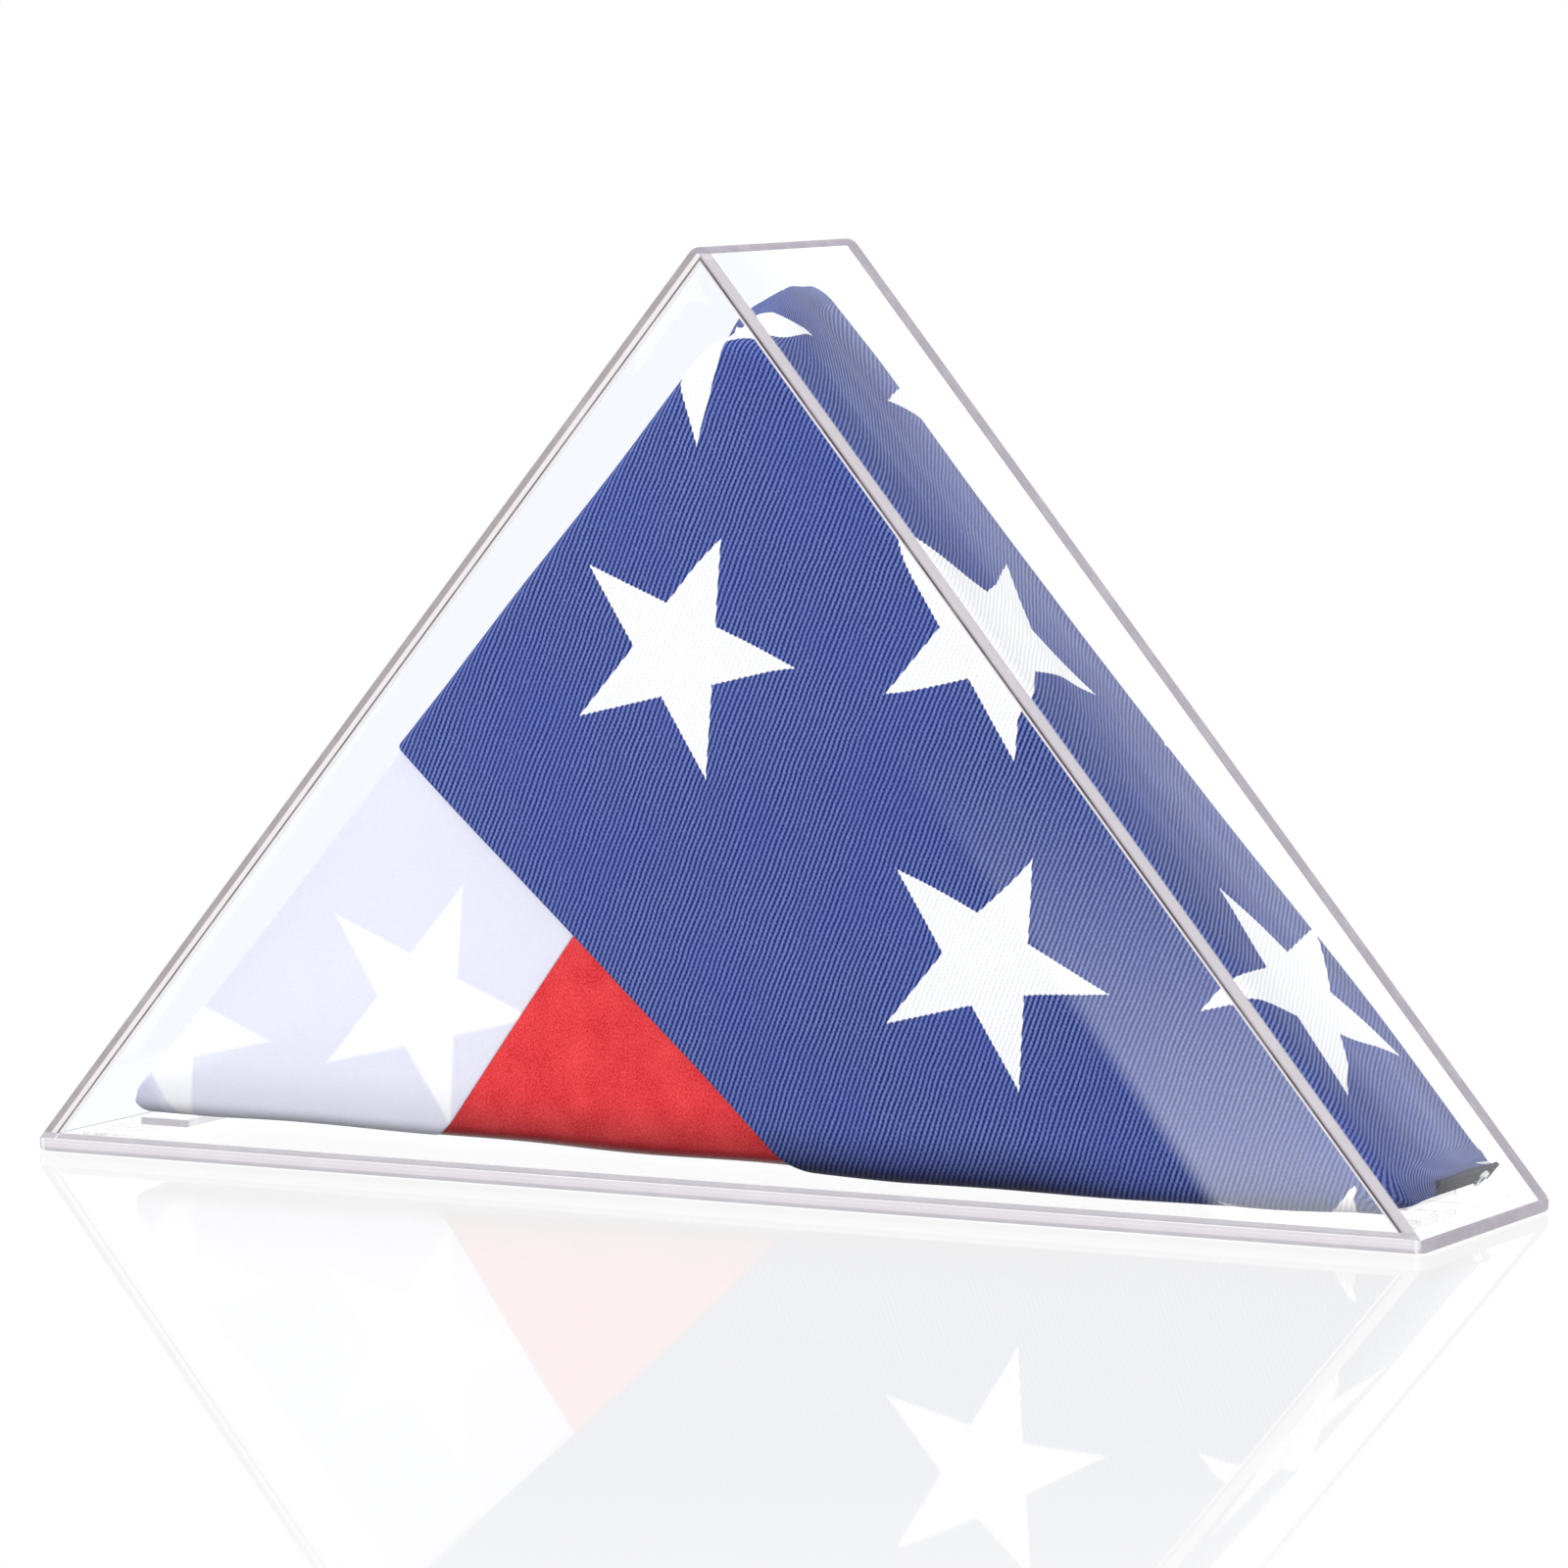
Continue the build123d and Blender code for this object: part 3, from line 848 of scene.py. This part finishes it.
def bundle():
    """Closed body of folded cloth under the outer layers."""
    ring_p, ring_n = even_outline(COLUMNS)
    centre = ring_p.mean(0)
    rings, uvs = [], []

    def ring(q, lift):
        rings.append(wrap(q, lift))
        uvs.append(q)

    for s in RING_SCALES:
        ring(centre + (ring_p - centre) * s, -BUNDLE_INSET)
    r = fold_radius(ring_n)
    whole = r * math.pi / 2 + (BACK_Y - FRONT_Y - r - BACK_R) + BACK_R * math.pi / 2
    off_right = 1 - ease(ring_n @ N_RIGHT, 0.5, 0.9)
    for s in np.linspace(0, 1, SIDE_RINGS):
        q = ring_p + ring_n * (whole * s)[:, None]
        layers = 0.55 * np.abs(np.sin(np.clip((s - 0.08) / 0.84, 0, 1) * math.pi * SIDE_FOLDS)) ** 0.6
        base = -BUNDLE_INSET + 0.75 * ease(np.full(COLUMNS, s), 0.78, 0.96)
        ring(q, base + off_right * (layers - 0.2))
    last = rings[-1]
    edge = (len(rings) - 1) * COLUMNS
    mid = last.mean(0)
    # At the narrow tips the last ring crosses itself, so the rings inside it follow a rounded copy.
    rounded = sum(np.roll(last, k, 0) for k in range(-ROUNDING, ROUNDING + 1)) / (2 * ROUNDING + 1)
    for s in reversed(RING_SCALES):
        even = min((1 - s) * 10, 1.0)
        v = mid + (last * (1 - even) + rounded * even - mid) * s
        v[:, 1] = BACK_Y + 0.2 + 0.5 * wave(v[:, 0], v[:, 2], 4.0, 90) * (1 - s ** 4) - 0.9 * s ** 8
        rings.append(v)
        uvs.append(from_behind(v))
    verts = np.concatenate(rings)
    faces = grid_faces(len(rings), COLUMNS, wrap_cols=True)
    start, end = len(verts), len(verts) + 1
    verts = np.concatenate([verts, [rings[0].mean(0)], [rings[-1].mean(0)]])
    faces += [(start, (j + 1) % COLUMNS, j) for j in range(COLUMNS)]
    off = (len(rings) - 1) * COLUMNS
    faces += [(end, off + j, off + (j + 1) % COLUMNS) for j in range(COLUMNS)]
    flat_uv = np.concatenate(uvs + [[centre], from_behind(mid[None])])
    back_uv = from_behind(verts)
    faces = [tuple(reversed(f)) for f in faces]
    corners = [(back_uv if min(f) >= edge else flat_uv)[i] for f in faces for i in f]
    return make_mesh("canton_bundle_cloth", verts, faces, np.array(corners))


def even_outline(count):
    """The core outline resampled to even steps."""
    closed = np.vstack([CORE_P, CORE_P[:1]])
    size = np.r_[0, np.cumsum(np.linalg.norm(np.diff(closed, axis=0), axis=1))]
    at = np.linspace(0, size[-1], count, endpoint=False)
    p = np.stack([np.interp(at, size, closed[:, k]) for k in (0, 1)], 1)
    normals = np.vstack([CORE_N, CORE_N[:1]])
    n = np.stack([np.interp(at, size, normals[:, k]) for k in (0, 1)], 1)
    return p, n / np.linalg.norm(n, axis=1)[:, None]


def heading_strip():
    """Folded canvas at the tip: two crowned faces joined round their rim."""
    along = np.array([LEAN_N[1], LEAN_N[0]])
    width, length = 4.3, heading_hi[1] - heading_lo[1] - 0.6
    rows, cols = 34, 14
    verts, faces = [], []
    for layer, base in ((0, 0.25), (1, 1.15)):
        for i in range(rows):
            for j in range(cols):
                s, t = i / (rows - 1), j / (cols - 1)
                a = 0.5 + width * t
                puff = 0.28 * (1 - (2 * t - 1) ** 4) * (1 - (2 * s - 1) ** 8)
                out = base + (puff if layer else -0.4 * puff)
                p = TIP_AT + along * a + TIP_OUT * out
                verts.append([p[0], heading_lo[1] + 0.3 + length * s, p[1]])
    n = rows * cols
    faces += grid_faces(rows, cols, 0) + grid_faces(rows, cols, n, flip=True)
    rim = [i * cols for i in range(rows)] + [(rows - 1) * cols + j for j in range(1, cols)]
    rim += [i * cols + cols - 1 for i in range(rows - 2, -1, -1)] + [j for j in range(cols - 2, 0, -1)]
    for k in range(len(rim)):
        a, b = rim[k], rim[(k + 1) % len(rim)]
        faces.append((a, a + n, b + n, b))
    return make_mesh("heading_canvas", np.array(verts), faces)


def paint_with(o, mat):
    o.data.materials.clear()
    o.data.materials.append(mat)


def dress(o, mat, node):
    paint_with(o, mat)
    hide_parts(node)


def white_tail(seam, inside_hem):
    """White cloth from the left tip to the seam, wrapped round the left and lower folds."""
    normal, offset = seam
    seam_edge = (normal, offset - 0.5)
    top = (N_LEFT, N_LEFT @ LEFT + WRAP_TAIL_LEFT)
    low = (N_DOWN, N_DOWN @ RIGHT + WRAP_TAIL_LOW)
    corners = [crossing(*top, *low), crossing(*top, *inside_hem),
               crossing(*seam_edge, *inside_hem), crossing(*seam_edge, *low)]
    q, rows, cols = patch(corners, 2.0)
    o = make_mesh("white_stripe_cloth", wrap(q, WHITE_LIFT), grid_faces(rows, cols), q)
    return thick(o, TAIL_THICK)


def red_tail(seam, inside_hem):
    """Red cloth between the seam and the pocket hem, wrapped round the lower fold."""
    low = (N_DOWN, N_DOWN @ RIGHT + WRAP_TAIL_LOW)
    top_corner = crossing(*seam, *inside_hem)
    corners = [top_corner, top_corner + HEM_DIR * 0.5, crossing(*inside_hem, *low), crossing(*seam, *low)]
    q, rows, cols = patch(corners, 1.6)
    o = make_mesh("red_stripe_cloth", wrap(q, RED_LIFT), grid_faces(rows, cols, flip=True), q)
    return thick(o, TAIL_THICK)


def build_flag():
    blue = blue_cloth()
    dress(bundle(), blue, "flag_canton_bundle")
    dress(pocket_layer(), blue, "flag_canton_pocket_fold")
    seam = line_side(SEAM_FOOT, SEAM_TOP - SEAM_FOOT)
    inside_hem = (HEM_N, HEM_D + TUCK)
    dress(white_tail(seam, inside_hem), white_cloth(), "flag_white_stripe")
    dress(red_tail(seam, inside_hem), red_cloth(), "flag_red_stripe")
    dress(heading_strip(), heading_cloth_in_painted_shade(), "flag_heading")


# ---------------------------------------------------------------- case
def build_case():
    looks = {
        "right_wall": clear("clear_right_wall", wall_paint(1), sweep=wall_sweep, bends=True),
        "left_wall": clear("clear_left_wall", wall_paint(-1), mirror=0.35),
        "front_pane": clear("clear_front_pane", pane_paint(True), mirror=1.6, smear=(0.002, 0.008)),
        "back_pane": clear("clear_back_pane", pane_paint(False)),
        "base_plate": clear("clear_base_plate", plate_paint, mirror=0.05),
        "base_step": clear("clear_base_step", step_paint, mirror=0.08),
        "flag_rest_left": clear("clear_rest", rest_paint, mirror=1.0),
    }
    looks["flag_rest_right"] = looks["flag_rest_left"]
    for node, mat in looks.items():
        paint_with(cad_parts[node], mat)
    paint_with(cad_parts["flag_grommet"], steel())


# ---------------------------------------------------------------- studio, in metres
CAMERA_AT = (0.8249, -1.5997, 0.2612)
CAMERA_AIM = (-0.0020, 0.0084, 0.0870)
CAMERA_LENS, CAMERA_SENSOR = 189.0, 36.0
AMBIENT = 0.86                                  # the world's light on the cloth
MAX_CLEAR_LAYERS = 48
BOX_Y = -0.9
BOX_X = (-0.50, -0.02)
BOX_Z = (-0.32, 0.03)
BOX_GLOW = 3.6
FLOOR_Z_M = -0.0002                             # just under the base
FLOOR_HALF = 40.0
FLOOR_MIRROR = 0.15


def flat_quad(scene, name, corners):
    mesh = bpy.data.meshes.new(name)
    mesh.from_pydata(corners, [], [(0, 1, 2, 3)])
    o = bpy.data.objects.new(name, mesh)
    scene.collection.objects.link(o)
    return o


def soft_box(scene):
    """Bright panel low on the left, seen only as its reflection in the front pane."""
    (x0, x1), (z0, z1) = BOX_X, BOX_Z
    o = flat_quad(scene, "soft_box", [(x0, BOX_Y, z0), (x1, BOX_Y, z0), (x1, BOX_Y, z1), (x0, BOX_Y, z1)])
    for flag in ("visible_camera", "visible_diffuse", "visible_shadow", "visible_transmission",
                 "visible_volume_scatter"):
        setattr(o, flag, False)
    m, g = material("soft_box")
    x, y, z = g.place()
    edge = g.step((x + 316.0) * 0.777 + (z + 71.5) * 0.629, -4.0, 4.0)
    fade = g.m("POWER", g.m("MULTIPLY", 15.0 - z, 1 / 135, clamp=True), 1.4)
    g.out(g.shader("ShaderNodeEmission", Color=WHITE, Strength=edge * fade * BOX_GLOW))
    o.data.materials.append(m)


def white_world(scene):
    """White to the eye and in reflections from the front and above, a little less bright as a light."""
    world = bpy.data.worlds.new("studio")
    scene.world = world
    world.use_nodes = True
    g = Graph(world.node_tree)
    seen, gloss = viewed(g), Sock(g, g.node("ShaderNodeLightPath").outputs["Is Glossy Ray"])
    x, y, z = g.xyz(g.node("ShaderNodeTexCoord").outputs["Generated"])
    open_side = g.m("MAXIMUM", g.step(y, -0.1, 0.1), g.step(z, 0.0, 0.12))
    power = g.m("MAXIMUM", seen, gloss * open_side)
    power = g.m("MAXIMUM", power, (1.0 - seen) * (1.0 - gloss) * AMBIENT)
    back = g.shader("ShaderNodeBackground", Color=WHITE, Strength=power)
    n = g.node("ShaderNodeOutputWorld")
    world.node_tree.links.new(back, n.inputs[0])


def pale_floor(scene):
    """Pale floor with a faint reflection that fades with distance and stops under the case."""
    e, z = FLOOR_HALF, FLOOR_Z_M
    floor = flat_quad(scene, "floor", [(-e, -e, z), (e, -e, z), (e, e, z), (-e, e, z)])
    floor.visible_glossy = False
    m, g = material("pale_floor")
    x, y, z = g.place()
    r = g.m("SQRT", x * x + y * y)
    under = g.step(x, -172.0, -168.0) * (1.0 - g.step(x, 168.0, 172.0)) * g.band(y, -35.0, 35.0, 1.0)
    mirror = (1.0 - g.step(r, 300.0, 720.0)) * (1.0 - under) * FLOOR_MIRROR
    seen = viewed(g)
    glow = g.shader("ShaderNodeEmission", Color=WHITE, Strength=seen * 0.65 + 0.35)
    gloss = g.shader("ShaderNodeBsdfGlossy", Color=WHITE, Roughness=0.02)
    g.out(g.shaders(mirror * seen, glow, gloss))
    floor.data.materials.append(m)


def aim(o, at, target):
    o.location = at
    o.rotation_euler = (Vector(target) - Vector(at)).to_track_quat("-Z", "Y").to_euler()


def lamp(scene, name, at, target, size, power):
    data = bpy.data.lights.new(name, "AREA")
    data.shape = "RECTANGLE"
    data.size, data.size_y = size
    data.energy = power
    o = bpy.data.objects.new(name, data)
    scene.collection.objects.link(o)
    aim(o, at, target)
    o.visible_glossy = False
    o.visible_camera = False


def camera(scene):
    cam = bpy.data.cameras.new("view")
    cam.sensor_width = CAMERA_SENSOR
    cam.lens = CAMERA_LENS
    cam.clip_start, cam.clip_end = 0.05, 100.0
    o = bpy.data.objects.new("view", cam)
    scene.collection.objects.link(o)
    aim(o, CAMERA_AT, CAMERA_AIM)
    scene.camera = o


def build_studio():
    scene = bpy.context.scene
    scene.view_settings.view_transform = "Standard"
    scene.cycles.transparent_max_bounces = MAX_CLEAR_LAYERS
    white_world(scene)
    pale_floor(scene)
    lamp(scene, "key", (1.1, 0.1, 1.2), (0.05, 0, 0.08), (0.7, 0.7), 3.0)
    lamp(scene, "front_fill", (-0.7, -1.6, 1.1), (0, 0, 0.08), (1.2, 0.9), 25.0)
    soft_box(scene)
    camera(scene)


build_case()
build_flag()
build_studio()
